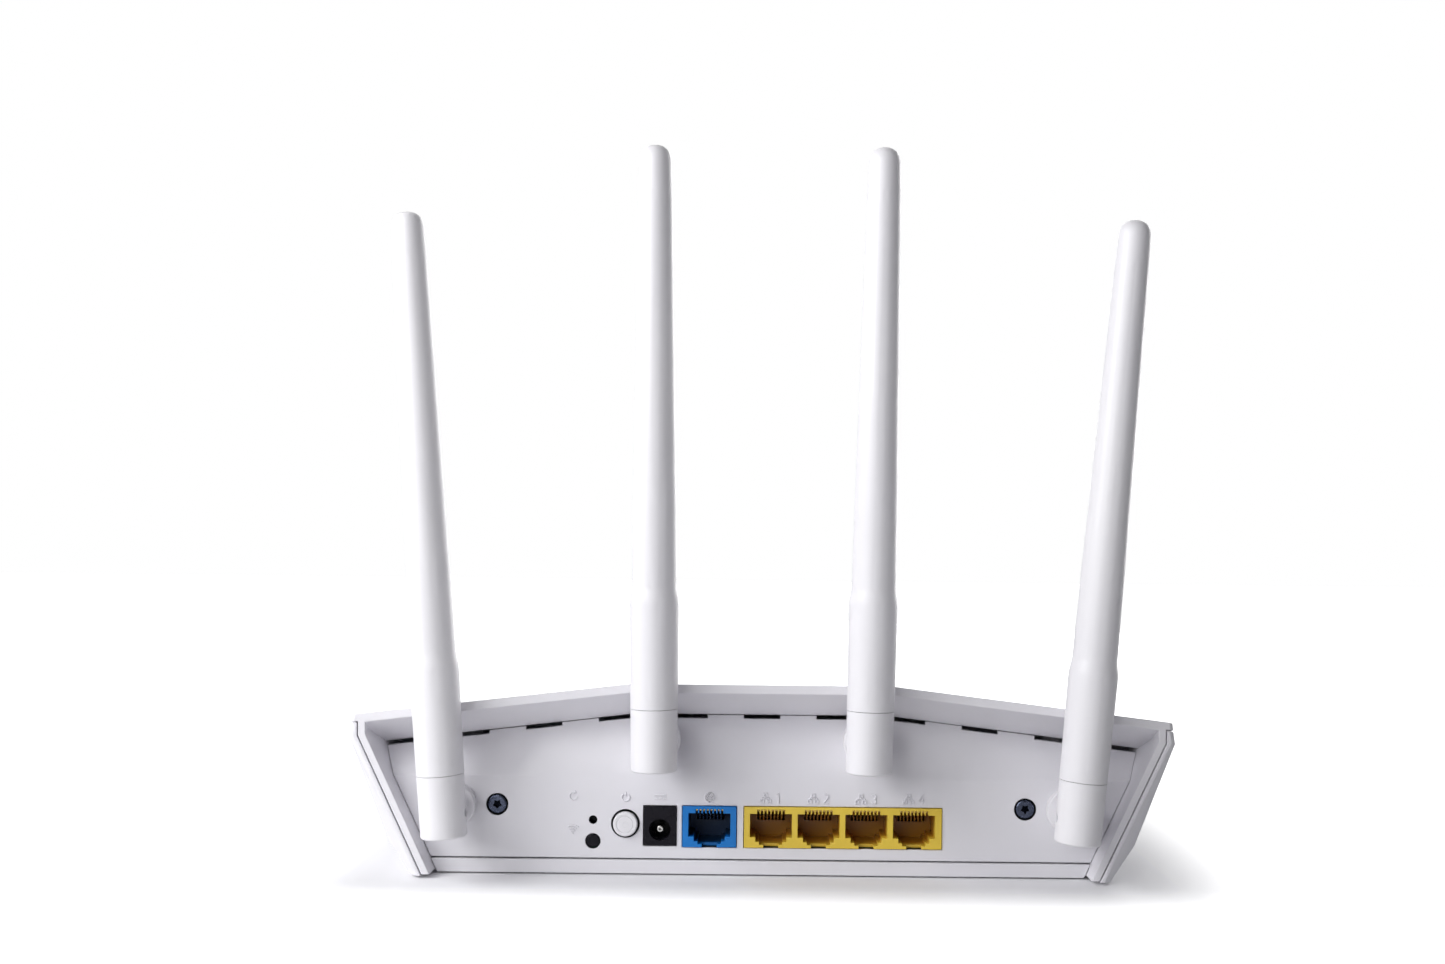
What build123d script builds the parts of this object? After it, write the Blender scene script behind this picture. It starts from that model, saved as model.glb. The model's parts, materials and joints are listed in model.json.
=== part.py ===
from build123d import *
from math import atan2, cos, degrees, hypot, radians, sin
import os

# Wireless router: a wedge-shaped plastic case with a recessed rear port panel and four hinged antennas.
# Millimetres. +Z is up, the ports and antennas face +Y, and +X is on the left of someone who looks at
# the ports. The origin is on the table, under the centre of the whole object's box.

# ---- Driving dimensions: case -------------------------------------------------------------------
BODY_DEPTH = 129.0  # front nose to the rear rim
BASE_Z = 0.8  # underside of the case above the table
RIM_TOP_Z = 54.4  # highest line of the roof, at the rear rim
RIM_FLAT_HALF = 36.0  # half the level middle stretch of the rim
RIM_END_X = 112.3  # end of the rim, half width
RIM_END_Z = 45.3  # height of the rim's ends
RIM_THICKNESS = 2.5
ROOF_FALL_CENTRE = 0.20  # drop towards the front per millimetre, middle facet
ROOF_FALL_SIDE = 0.175  # the same on the two outer facets
ROOF_SLAB = 2.1
PARTING_GAP = 0.25  # roof slab to the top edge of the case wall
CASE_WALL = 1.8
FLOOR_THICKNESS = 2.0
SIDE_TOP = (113.4, 45.3)  # outer side wall, seen from the rear: X and Z of its corners
SIDE_KINK = (114.3, 39.0)
SIDE_LOW = (104.1, 10.3)
SIDE_BASE = (97.0, 0.8)
CHAMFER_TOP = (112.3, 45.3)  # outer edge of the side rim where the rear chamfer starts
CHAMFER_KINK = (112.9, 39.4)
CHAMFER_BASE = (95.0, 1.2)
LINER_KINK = (111.4, 39.4)  # outer face of the cover's cheek, where the dark gap line runs
LINER_BASE = (93.5, 1.2)
LINER_THICKNESS = 2.0
LINER_GAP = 0.3  # cheek to case wall
CHEEK_LENGTH = 24.0
CHEEK_BASE_Z = 1.2
LIP_HEIGHT = 7.0
NOSE_Z = 17.0  # where the front face meets its lower bevel
NOSE_SETBACK = 12.0
CORNER_LENGTH = 40.0  # front corner facets, along Y
CORNER_WIDTH = 46.0  # and along X

# ---- Driving dimensions: rear recess and panel --------------------------------------------------
VENT_DROP = 10.1  # rim top line down to the vent line
VENT_DEPTH = 16.5  # rim plane in to the vent line
VENT_COUNT = 11
VENT_PITCH = 20.8
VENT_LENGTH = 10.5
VENT_HEIGHT = 1.15
EAVE_WALL = 1.8
STEP_Z = 27.4  # where the sloped wall meets the upright port panel
PANEL_DEPTH = 8.3  # rim plane in to the port panel
PANEL_THICKNESS = 2.0
PANEL_BASE_Z = 4.4
SEAM = 0.15
BAND_SEAM = 0.35
BAND_PROUD = 0.8  # the band under the panel stands out from it
BAND_BASE_Z = 0.42
SIDE_CLEARANCE = 0.15

# ---- Driving dimensions: ports, as (X, Z) centres on the panel ----------------------------------
RESET_AT = (47.2, 15.3)
RESET_HOLE_RADIUS = 1.22
WPS_AT = (47.2, 9.3)
WPS_HOLE_RADIUS = 2.15
WPS_RADIUS = 1.95
POWER_AT = (38.1, 14.3)
POWER_HOLE_RADIUS = 4.02
POWER_RADIUS = 3.42
DC_X = 28.4
DC_WIDTH = 9.1
DC_BASE_Z = 8.3
DC_HEIGHT = 11.0
DC_SOCKET_Z = 12.7
DC_SOCKET_RADIUS = 3.0
DC_PIN_RADIUS = 1.0
DC_PIN_HOLLOW_RADIUS = 0.45
DC_DEPTH = 14.0
JACK_TOP_Z = 19.4
JACK_HEIGHT = 11.45
JACK_DEPTH = 17.0
JACK_PROUD = 0.4
WAN_X = 14.5
WAN_WIDTH = 15.1
LAN_X = -23.0
LAN_WIDTH = 55.5
LAN_PORT_X = [-2.8, -16.2, -29.6, -43.0]
PORT_WIDTH = 11.8
PORT_COMB_WIDTH = 8.0
PORT_COMB_TOP = 0.75  # all port heights are below the jack's top
PORT_TOP = 1.95
PORT_SHOULDER = 8.5
PORT_STEP = 9.8
PORT_KEYWAY = 10.6
PORT_SHOULDER_WIDTH = 8.7
PORT_STEP_WIDTH = 6.6
PORT_KEYWAY_WIDTH = 4.2
PORT_CAVITY_DEPTH = 13.5
COMB_FACE_DEPTH = 9.2
COMB_BASE = 5.3
CONTACT_PITCH = 1.02
CONTACT_COUNT = 8
CUTOUT_GAP = 0.15
REAR_SCREW_X = 74.2
REAR_SCREW_Z = 19.4
SCREW_HEAD_RADIUS = 2.8
SCREW_SHANK_RADIUS = 1.45

# ---- Driving dimensions: antennas ---------------------------------------------------------------
ANTENNA_STANDOFF = 7.0  # antenna centre plane behind the rear rim
ANTENNA_RADIUS = 6.65  # widest, just under the step
OUTER_SWIVEL = (86.3, 19.4)  # X and Z of the swivel axes, which run along Y
INNER_SWIVEL = (29.2, 37.8)
TILTS = [4.0, 0.45, -0.9, -4.8]  # lean of antennas 1 to 4 towards +X at rest, in degrees
ANTENNA_LENGTH = 169.6
PIN_TO_END = 6.4  # hinge pin down to the antenna's lower end
# (height above the lower end, radius) of the antenna's outside
LOWER_PROFILE = [(0.0, 6.25), (20.0, 6.45), (45.5, ANTENNA_RADIUS)]
BLADE_PROFILE = [(50.5, 6.05), (74.0, 5.85), (102.0, 5.4), (129.0, 5.0), (156.0, 4.6)]
TIP_RADIUS = 4.35
TIP_HEIGHT = 4.6
HOUSING_HEIGHT = 17.0
SLEEVE_SEAM = 0.12
KNUCKLE_WIDTH = 6.0
KNUCKLE_RADIUS = 3.9
ARM_HALF_HEIGHT = 3.1
SLOT_GAP = 0.3
PIN_RADIUS = 1.25
RUNNING_GAP = 0.05
FLANGE_RADIUS = 6.35
FLANGE_LENGTH = 2.8
NECK_RADIUS = 4.0
CABLE_BORE_RADIUS = 1.2
COLLAR_FACE_DEPTH = 10.0  # inner antennas: outer face of the panel's collar, in from the rim plane
COLLAR_INNER_DEPTH = 19.0
COLLAR_RADIUS = 6.1

# ---- Driving dimensions: inside -----------------------------------------------------------------
BOARD_TOP_Z = 7.7
BOARD_THICKNESS = 1.6
BOARD_HALF_WIDTH = 64.0
BOARD_REAR_GAP = 3.0
FOOT_RADIUS = 6.0
FOOT_THICKNESS = 1.7
FOOT_RECESS = 0.95
PROCESSOR_AT = (0.0, -8.0)
HEAT_SINK_SIZE = (58.0, 40.0)
PAD_THICKNESS = 1.0
CHIP_HEIGHT = 1.4
RADIO_AT = [(47.0, -2.0), (-47.0, -2.0)]
SHIELD_SIZE = (23.0, 30.0)
OUTER_SOCKET = (61.0, 8.0)  # coaxial sockets on the board, for the outer and inner antennas
INNER_SOCKET = (32.0, 17.0)
LED_COUNT = 7
LED_PITCH = 9.0

# ---- Places that follow from the driving dimensions ---------------------------------------------
FRONT_Y = -(BODY_DEPTH + ANTENNA_STANDOFF + ANTENNA_RADIUS) / 2
RIM_Y = FRONT_Y + BODY_DEPTH
PANEL_Y = RIM_Y - PANEL_DEPTH
VENT_Y = RIM_Y - VENT_DEPTH
ANTENNA_Y = RIM_Y + ANTENNA_STANDOFF
FLOOR_TOP_Z = BASE_Z + FLOOR_THICKNESS
BOARD_BASE_Z = BOARD_TOP_Z - BOARD_THICKNESS
BOARD_REAR_Y = PANEL_Y - BOARD_REAR_GAP
BOARD_FRONT_Y = FRONT_Y + 34.0
RIM_FALL = (RIM_TOP_Z - RIM_END_Z) / (RIM_END_X - RIM_FLAT_HALF)
ROOF_SIDE_ANGLE = degrees(atan2(RIM_FALL, 1))
LED_Y = FRONT_Y + 17.0
FOOT_AT = [(86.0, RIM_Y - 30.0), (62.0, FRONT_Y + 24.0)]
BOARD_SCREW_AT = [(58.0, BOARD_REAR_Y - 22.0), (58.0, BOARD_FRONT_Y + 6.0)]
KEYHOLE_X = 42.0
KEYHOLE_Y = 26.0
LABEL_Y = RIM_Y - 40.0
LABEL_SIZE = (44.0, 24.0, 0.2)

FAR = 400.0  # larger than the object, for cutting forms

parts = {}


def rim_z(x):
    """Height of the roof's rear edge at this X."""
    return RIM_TOP_Z - max(0.0, abs(x) - RIM_FLAT_HALF) * RIM_FALL


def roof_z(x, y):
    """Height of the roof's outer surface at this X and Y."""
    ahead = RIM_Y - y
    centre = RIM_TOP_Z - ROOF_FALL_CENTRE * ahead
    side = RIM_TOP_Z - (abs(x) - RIM_FLAT_HALF) * RIM_FALL - ROOF_FALL_SIDE * ahead
    return min(centre, side)


def both_sides(points):
    """The given (X, Y) points and their mirror images."""
    return [(side * x, y) for x, y in points for side in (1, -1)]


def block(x0, x1, y0, y1, z0, z1):
    """A box between two corners."""
    middle = ((x0 + x1) / 2, (y0 + y1) / 2, (z0 + z1) / 2)
    return Pos(*middle) * Box(abs(x1 - x0), abs(y1 - y0), abs(z1 - z0))


def rod_y(x, z, radius, y0, y1):
    """A cylinder along Y."""
    return Pos(x, (y0 + y1) / 2, z) * Rot(90, 0, 0) * Cylinder(radius, abs(y1 - y0))


def rod_z(x, y, radius, z0, z1):
    """A cylinder along Z."""
    return Pos(x, y, (z0 + z1) / 2) * Cylinder(radius, abs(z1 - z0))


def rod_x(radius, x0, x1, y=0.0, z=0.0):
    """A cylinder along X."""
    return Pos((x0 + x1) / 2, y, z) * Rot(0, 90, 0) * Cylinder(radius, abs(x1 - x0))


def yz_profile(points, x0, x1):
    """A straight bar along X with this outline of (Y, Z) points."""
    face = make_face(Polyline(*[(x0, y, z) for y, z in points], close=True))
    return extrude(face, amount=x1 - x0, dir=(1, 0, 0))


def ruled_across(section, stations):
    """A solid whose outline of (Y, Z) points, section(x), changes straight from station to station."""
    faces = [
        make_face(Polyline(*[(x, y, z) for y, z in section(x)], close=True)) for x in stations
    ]
    return loft(faces, ruled=True)


def faceted_across(section, stations):
    """As ruled_across, with each twisted face split into two flat triangles."""
    outlines = [[Vector(x, y, z) for y, z in section(x)] for x in stations]
    ends = (outlines[0], outlines[-1])
    faces = [make_face(Polyline(*outline, close=True)).face() for outline in ends]
    for near, far in zip(outlines, outlines[1:]):
        for i in range(len(near)):
            a, b = near[i - 1], near[i]
            c, d = far[i], far[i - 1]
            twist = (b - a).cross(d - a).normalized().dot(c - a)
            corners = [(a, b, c, d)] if abs(twist) < 1e-6 else [(a, b, c), (a, c, d)]
            faces += [make_face(Polyline(*points, close=True)).face() for points in corners]
    return Solid(Shell(faces))


# ---- Case forms ---------------------------------------------------------------------------------


def wall_plane(upper, lower, lean_back=0.0):
    """(point, outward normal) of a +X side face through two (X, Z) points at the rear rim."""
    dx, dz = upper[0] - lower[0], upper[1] - lower[1]
    length = hypot(dx, dz)
    return (upper[0], RIM_Y, upper[1]), (dz / length, lean_back, -dx / length)


NOSE_FACES = [
    ((0, FRONT_Y, NOSE_Z), (0, -1, 0)),
    ((0, FRONT_Y, NOSE_Z), (0, -(NOSE_Z - BASE_Z), -NOSE_SETBACK)),
]
CORNER_FACE = (
    (SIDE_KINK[0], FRONT_Y + CORNER_LENGTH, NOSE_Z + 6),
    (CORNER_LENGTH, -CORNER_WIDTH, -0.35 * CORNER_WIDTH),
)
OUTER_SIDE_FACES = [
    wall_plane(SIDE_TOP, SIDE_KINK),
    wall_plane(SIDE_KINK, SIDE_LOW),
    wall_plane(SIDE_LOW, SIDE_BASE),
    wall_plane(CHAMFER_TOP, CHAMFER_KINK, lean_back=1.0),
    wall_plane(CHAMFER_KINK, CHAMFER_BASE, lean_back=1.0),
]
LINER_SIDE_FACES = [
    ((LINER_KINK[0], RIM_Y, LINER_KINK[1]), (1, 0, 0)),
    wall_plane(LINER_KINK, LINER_BASE),
]
ROOF_FACES = [
    ((0, RIM_Y, RIM_TOP_Z), (0, -ROOF_FALL_CENTRE, 1)),
    ((RIM_FLAT_HALF, RIM_Y, RIM_TOP_Z), (RIM_FALL, -ROOF_FALL_SIDE, 1)),
]


def trim(solid, point, normal, inset):
    """Keep what lies behind the plane, moved inwards by inset."""
    away = Vector(*normal).normalized()
    origin = Vector(*point) - away * inset
    return split(solid, bisect_by=Plane(origin=origin, z_dir=away), keep=Keep.BOTTOM)


def form(side_faces, inset, roof_drop, floor_z, rear_y, front_inset=None):
    """The convex body between the given side faces, the nose and the roof, each moved inwards."""
    front = inset if front_inset is None else front_inset
    solid = block(-FAR / 2, FAR / 2, -FAR / 2, rear_y, floor_z, FAR / 2)
    for (px, py, pz), (nx, ny, nz) in side_faces:
        for side in (1, -1):
            solid = trim(solid, (side * px, py, pz), (side * nx, ny, nz), inset)
    (px, py, pz), (nx, ny, nz) = CORNER_FACE
    for side in (1, -1):
        solid = trim(solid, (side * px, py, pz), (side * nx, ny, nz), front)
    for point, normal in NOSE_FACES:
        solid = trim(solid, point, normal, front)
    for (px, py, pz), (nx, ny, nz) in ROOF_FACES:
        for side in (1, -1):
            solid = trim(solid, (side * px, py, pz - roof_drop), (side * nx, ny, nz), 0)
    return solid


def liner_form(inset, roof_drop, floor_z, rear_y):
    """The space inside the case wall's liner faces."""
    nose_inset = CASE_WALL + LINER_GAP + inset
    return form(LINER_SIDE_FACES, inset, roof_drop, floor_z, rear_y, nose_inset)


# ---- Top cover ----------------------------------------------------------------------------------


def eave_section(x):
    """The wall under the rear overhang, from the rim in and down to the vent line."""
    rim = rim_z(x)
    run, fall = VENT_DEPTH, VENT_DROP - RIM_THICKNESS
    length = hypot(run, fall)
    up_y, up_z = -fall / length * EAVE_WALL, run / length * EAVE_WALL
    tuck = 3.0
    return [
        (RIM_Y, rim - ROOF_SLAB / 2),
        (RIM_Y, rim - RIM_THICKNESS),
        (VENT_Y, rim - VENT_DROP),
        (VENT_Y + up_y, rim - VENT_DROP + up_z),
        (RIM_Y - tuck, rim - RIM_THICKNESS - tuck * fall / run + EAVE_WALL * length / run),
    ]


def roof_slots():
    """Two fans of vent slots in the roof's outer facets."""
    slot_width, slot_length, count, pitch = 2.2, 30.0, 9, 5.2
    cutters = []
    for side in (1, -1):
        for i in range(count):
            x = side * (46.0 + i * pitch)
            y = RIM_Y - 46.0 - i * 1.6
            slot = extrude(Rot(0, 0, 90) * SlotOverall(slot_length, slot_width), FAR / 4)
            cutters.append(Pos(x, y, 20.0) * slot)
    return cutters


def led_windows(gap):
    """The row of indicator windows near the nose, each a rounded bar grown by gap."""
    bars = []
    for i in range(LED_COUNT):
        x = (i - (LED_COUNT - 1) / 2) * LED_PITCH
        bars.append(Pos(x, LED_Y, 0) * SlotOverall(4.4 + 2 * gap, 1.3 + 2 * gap))
    return bars


def cover_bosses():
    """Screw bosses that hang from the roof over the feet."""
    made, holes = [], []
    for x, y in both_sides(FOOT_AT):
        top = roof_z(x, y) - 1.0
        made.append(rod_z(x, y, 3.6, 8.2, top))
        holes.append(rod_z(x, y, SCREW_SHANK_RADIUS + 0.02, 8.0, 16.0))
    return made, holes


def make_top_cover():
    whole = form(OUTER_SIDE_FACES, 0, 0, BASE_Z, RIM_Y)
    below = form(OUTER_SIDE_FACES, -6, ROOF_SLAB, -FAR / 4, RIM_Y + 6)
    slab = whole - below
    walls = liner_form(0, ROOF_SLAB / 2, CHEEK_BASE_Z, RIM_Y)
    walls -= liner_form(LINER_THICKNESS, ROOF_SLAB, -FAR / 4, RIM_Y + 6)
    under_lip = liner_form(-6, LIP_HEIGHT, -FAR / 4, RIM_Y - CHEEK_LENGTH)
    walls -= under_lip
    above_floor = FLOOR_TOP_Z + LINER_GAP
    walls -= block(-FAR / 2, FAR / 2, -FAR / 2, PANEL_Y + LINER_GAP, -FAR / 4, above_floor)
    ends = [-RIM_END_X - 4, -RIM_FLAT_HALF, RIM_FLAT_HALF, RIM_END_X + 4]
    eave = ruled_across(eave_section, ends)
    eave &= liner_form(1.0, 0.5, BASE_Z, RIM_Y)
    bosses, holes = cover_bosses()
    cover = slab + walls + eave
    for boss in bosses:
        cover += boss
    for cutter in holes + roof_slots():
        cover -= cutter
    for window in led_windows(0):
        cover -= extrude(window, FAR / 4)
    return cover


# ---- Bottom case --------------------------------------------------------------------------------


def keyhole(x, y):
    """A wall-mount keyhole: a round entry and a narrower slot towards the front."""
    entry = rod_z(x, y, 3.6, -1.0, 5.0)
    slot = block(x - 1.9, x + 1.9, y - 7.0, y, -1.0, 5.0)
    return entry + slot + rod_z(x, y - 7.0, 1.9, -1.0, 5.0)


def floor_vents():
    """Rows of slots through the floor."""
    slot_length, slot_width, pitch, rows = 24.0, 2.0, 4.6, 5
    cutters = []
    for column in (-1, 0, 1):
        for row in range(rows):
            slot = extrude(SlotOverall(slot_length, slot_width), 6.0)
            y = (row - (rows - 1) / 2) * pitch - 18.0
            cutters.append(Pos(column * 30.0, y, -1.0) * slot)
    return cutters


def make_bottom_case():
    wall_top = ROOF_SLAB + PARTING_GAP
    case = form(OUTER_SIDE_FACES, 0, wall_top, BASE_Z, RIM_Y)
    web = 6.0
    case -= form(OUTER_SIDE_FACES, CASE_WALL, -10, FLOOR_TOP_Z, RIM_Y - web)
    case -= liner_form(-LINER_GAP, -10, FLOOR_TOP_Z, RIM_Y + 6)
    tail = liner_form(-LINER_GAP, -10, -FAR / 4, RIM_Y + 6)
    case -= tail & block(-FAR / 2, FAR / 2, PANEL_Y, RIM_Y + 6, -FAR / 4, FAR / 4)
    band_top = PANEL_BASE_Z - BAND_SEAM / 2
    band_face = PANEL_Y + BAND_PROUD
    band = block(-FAR / 2, FAR / 2, PANEL_Y - PANEL_THICKNESS, band_face, BAND_BASE_Z, band_top)
    band &= liner_form(LINER_THICKNESS + SIDE_CLEARANCE, -10, BAND_BASE_Z, RIM_Y)
    case += band
    post_y0, post_y1 = PANEL_Y - 14.0, PANEL_Y - 4.2
    for side in (1, -1):
        x = side * REAR_SCREW_X
        case += block(x - 4.5, x + 4.5, post_y0, post_y1, BASE_Z, REAR_SCREW_Z + 4.5)
        case -= rod_y(x, REAR_SCREW_Z, SCREW_SHANK_RADIUS + 0.02, PANEL_Y - 13.0, PANEL_Y)
    for x, y in both_sides(FOOT_AT):
        case += rod_z(x, y, 5.0, BASE_Z, 7.9)
        case -= rod_z(x, y, 1.7, -1, 8.5)
        case -= rod_z(x, y, 3.1, -1, 5.2)
        case -= rod_z(x, y, FOOT_RADIUS + 0.1, -1, BASE_Z + FOOT_RECESS)
    for x, y in both_sides(BOARD_SCREW_AT):
        case += rod_z(x, y, 3.2, BASE_Z, BOARD_BASE_Z)
        case -= rod_z(x, y, 1.02, FLOOR_TOP_Z - 0.6, BOARD_BASE_Z + 1)
    for x in (KEYHOLE_X, -KEYHOLE_X):
        case -= keyhole(x, KEYHOLE_Y)
    for cutter in floor_vents():
        case -= cutter
    width, length, thickness = LABEL_SIZE
    recess = Box(width + 0.4, length + 0.4, 3 * thickness)
    return case - Pos(0, LABEL_Y, BASE_Z) * recess


# ---- Rear panel ---------------------------------------------------------------------------------


def panel_section(x):
    """The panel's sloped upper wall and upright lower wall."""
    top = rim_z(x) - VENT_DROP - SEAM
    base = PANEL_BASE_Z + BAND_SEAM / 2
    inner = PANEL_Y - PANEL_THICKNESS
    return [
        (VENT_Y, top),
        (PANEL_Y, STEP_Z),
        (PANEL_Y, base),
        (inner, base),
        (inner, STEP_Z + 0.5),
        (VENT_Y - PANEL_THICKNESS, top),
    ]


def vent_notches():
    """The vent slots: notches in the panel's top edge, laid along the roof line."""
    notches = []
    middle = (VENT_COUNT - 1) / 2
    for i in range(VENT_COUNT):
        x = (i - middle) * VENT_PITCH
        tilt = 0.0
        if abs(x) > RIM_FLAT_HALF:
            tilt = ROOF_SIDE_ANGLE if x > 0 else -ROOF_SIDE_ANGLE
        z = rim_z(x) - VENT_DROP - VENT_HEIGHT + 1.0
        slot = Box(VENT_LENGTH, 3 * PANEL_THICKNESS, 2.0)
        notches.append(Pos(x, VENT_Y, z) * Rot(0, tilt, 0) * slot)
    return notches


def port_cutouts():
    """Openings for the jacks, the buttons and the screws."""
    y0, y1 = PANEL_Y - 3 * PANEL_THICKNESS, PANEL_Y + 1
    jack_base = JACK_TOP_Z - JACK_HEIGHT
    gap = CUTOUT_GAP
    cuts = [
        rod_y(*RESET_AT, RESET_HOLE_RADIUS, y0, y1),
        rod_y(*WPS_AT, WPS_HOLE_RADIUS, y0, y1),
        rod_y(*POWER_AT, POWER_HOLE_RADIUS, y0, y1),
    ]
    for x, width, low, high in (
        (DC_X, DC_WIDTH, DC_BASE_Z, DC_BASE_Z + DC_HEIGHT),
        (WAN_X, WAN_WIDTH, jack_base, JACK_TOP_Z),
        (LAN_X, LAN_WIDTH, jack_base, JACK_TOP_Z),
    ):
        half = width / 2 + gap
        cuts.append(block(x - half, x + half, y0, y1, low - gap, high + gap))
    return cuts


def make_rear_panel():
    steps = 9
    stations = [RIM_FLAT_HALF + i * (RIM_END_X - RIM_FLAT_HALF) / steps for i in range(steps + 1)]
    panel = faceted_across(panel_section, [-x for x in reversed(stations)] + stations)
    panel &= liner_form(LINER_THICKNESS + SIDE_CLEARANCE, 0, BASE_Z, RIM_Y)
    for side in (1, -1):
        x, z = side * INNER_SWIVEL[0], INNER_SWIVEL[1]
        panel += rod_y(x, z, COLLAR_RADIUS, RIM_Y - COLLAR_INNER_DEPTH, RIM_Y - COLLAR_FACE_DEPTH)
        x, z = side * OUTER_SWIVEL[0], OUTER_SWIVEL[1]
        panel += rod_y(x, z, FLANGE_RADIUS + 1, PANEL_Y - 3.0, PANEL_Y - 1.0)
        x = side * REAR_SCREW_X
        panel += rod_y(x, REAR_SCREW_Z, 4.2, PANEL_Y - 4.0, PANEL_Y - 1.0)
    for x, z in ((OUTER_SWIVEL[0], OUTER_SWIVEL[1]), (INNER_SWIVEL[0], INNER_SWIVEL[1])):
        for side in (1, -1):
            panel -= rod_y(side * x, z, NECK_RADIUS + RUNNING_GAP, PANEL_Y - 20, RIM_Y)
    for side in (1, -1):
        x = side * REAR_SCREW_X
        panel -= rod_y(x, REAR_SCREW_Z, SCREW_SHANK_RADIUS + 0.25, PANEL_Y - 9, PANEL_Y + 1)
        panel -= rod_y(x, REAR_SCREW_Z, SCREW_HEAD_RADIUS + 0.3, PANEL_Y - 1.9, PANEL_Y + 1)
    for cutter in port_cutouts() + vent_notches():
        panel -= cutter
    return panel


# ---- Jacks and buttons --------------------------------------------------------------------------


def port_outline():
    """Half of a port's mouth, as (half width, height below the jack's top)."""
    return [
        (PORT_WIDTH / 2, PORT_TOP),
        (PORT_WIDTH / 2, PORT_SHOULDER),
        (PORT_SHOULDER_WIDTH / 2, PORT_SHOULDER),
        (PORT_SHOULDER_WIDTH / 2, PORT_STEP),
        (PORT_STEP_WIDTH / 2, PORT_STEP),
        (PORT_STEP_WIDTH / 2, PORT_KEYWAY),
    ]


def port_cavity(x):
    """The space that a plug enters, with the stepped keyway for its latch."""
    face_y = PANEL_Y + JACK_PROUD
    half = port_outline()
    points = [(x + w, face_y + 1, JACK_TOP_Z - h) for w, h in half]
    points += [(x - w, face_y + 1, JACK_TOP_Z - h) for w, h in reversed(half)]
    mouth = make_face(Polyline(*points, close=True))
    cavity = extrude(mouth, amount=PORT_CAVITY_DEPTH + 1, dir=(0, -1, 0))
    key_half = PORT_KEYWAY_WIDTH / 2
    low = JACK_TOP_Z - JACK_HEIGHT - 1
    keyway = block(
        x - key_half, x + key_half, face_y - 2.5, face_y + 1, low, JACK_TOP_Z - PORT_STEP
    )
    return cavity + keyway


def comb_x(x):
    """The X of each contact slot in a port."""
    return [x + (i - (CONTACT_COUNT - 1) / 2) * CONTACT_PITCH for i in range(CONTACT_COUNT)]


def make_jack(centre_x, width, port_xs):
    """A moulded RJ45 housing with one or more ports."""
    face_y = PANEL_Y + JACK_PROUD
    base = JACK_TOP_Z - JACK_HEIGHT
    half = width / 2
    body = block(centre_x - half, centre_x + half, face_y - JACK_DEPTH, face_y, base, JACK_TOP_Z)
    for end in (1, -1):
        for y in (face_y - 6.0, face_y - JACK_DEPTH + 2.0):
            body += rod_z(centre_x + end * (half - 1.4), y, 0.9, BOARD_TOP_Z, base + 0.5)
    for x in port_xs:
        body -= port_cavity(x)
        comb_half = PORT_COMB_WIDTH / 2
        comb_y = face_y - COMB_FACE_DEPTH
        body += block(
            x - comb_half,
            x + comb_half,
            face_y - PORT_CAVITY_DEPTH - 0.5,
            comb_y,
            JACK_TOP_Z - COMB_BASE,
            JACK_TOP_Z - PORT_COMB_TOP + 0.2,
        )
        for slot_x in comb_x(x):
            body -= block(
                slot_x - 0.33,
                slot_x + 0.33,
                face_y - PORT_CAVITY_DEPTH + 1.0,
                face_y + 1,
                JACK_TOP_Z - COMB_BASE - 1,
                JACK_TOP_Z - PORT_COMB_TOP,
            )
    return body


def make_contacts(port_xs):
    """Eight sprung wires for each port, each anchored at the mouth and sloping in and down."""
    face_y = PANEL_Y + JACK_PROUD
    wires = []
    top = JACK_TOP_Z - PORT_COMB_TOP
    wire = 0.32
    outline = [
        (face_y - 1.2, top - 0.25),
        (face_y - 1.2, top - 0.25 - wire),
        (face_y - 11.4, JACK_TOP_Z - 4.2 - wire),
        (face_y - 12.0, JACK_TOP_Z - 4.2),
        (face_y - 2.0, top - 0.25),
    ]
    for port_x in port_xs:
        for x in comb_x(port_x):
            wires.append(yz_profile(outline, x - 0.22, x + 0.22))
    return Compound(wires)


def make_dc_jack():
    face_y = PANEL_Y + JACK_PROUD
    half = DC_WIDTH / 2
    top = DC_BASE_Z + DC_HEIGHT
    body = block(DC_X - half, DC_X + half, face_y - DC_DEPTH, face_y, DC_BASE_Z, top)
    body -= rod_y(DC_X, DC_SOCKET_Z, DC_SOCKET_RADIUS, face_y - 10.0, face_y + 1)
    for side in (1, -1):
        x = DC_X + side * (half - 1.2)
        body += rod_z(x, face_y - 8.0, 0.9, BOARD_TOP_Z, DC_BASE_Z + 0.5)
    return body


def make_dc_pin():
    """The centre pin, with a small hollow in its end."""
    face_y = PANEL_Y + JACK_PROUD
    pin = rod_y(DC_X, DC_SOCKET_Z, DC_PIN_RADIUS, face_y - 10.0, face_y - 1.4)
    tip = pin.edges().sort_by(Axis.Y)[-1]
    pin = fillet(tip, 0.35)
    return pin - rod_y(DC_X, DC_SOCKET_Z, DC_PIN_HOLLOW_RADIUS, face_y - 3.0, face_y)


def make_power_button():
    """A round cap with a ringed face, and the stem that works the switch."""
    x, z = POWER_AT
    cap = rod_y(x, z, POWER_RADIUS, PANEL_Y - 5.0, PANEL_Y + 1.4)
    cap = fillet(cap.edges().sort_by(Axis.Y)[-1], 0.45)
    ring = rod_y(x, z, 2.45, PANEL_Y + 1.22, PANEL_Y + 2) - rod_y(x, z, 2.2, PANEL_Y, PANEL_Y + 2)
    cap -= ring
    cap += rod_y(x, z, POWER_HOLE_RADIUS + 0.7, PANEL_Y - 5.0, PANEL_Y - 3.0)
    return cap + block(x - 1.5, x + 1.5, PANEL_Y - 11.0, PANEL_Y - 5.0, z - 1.5, z + 1.5)


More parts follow.
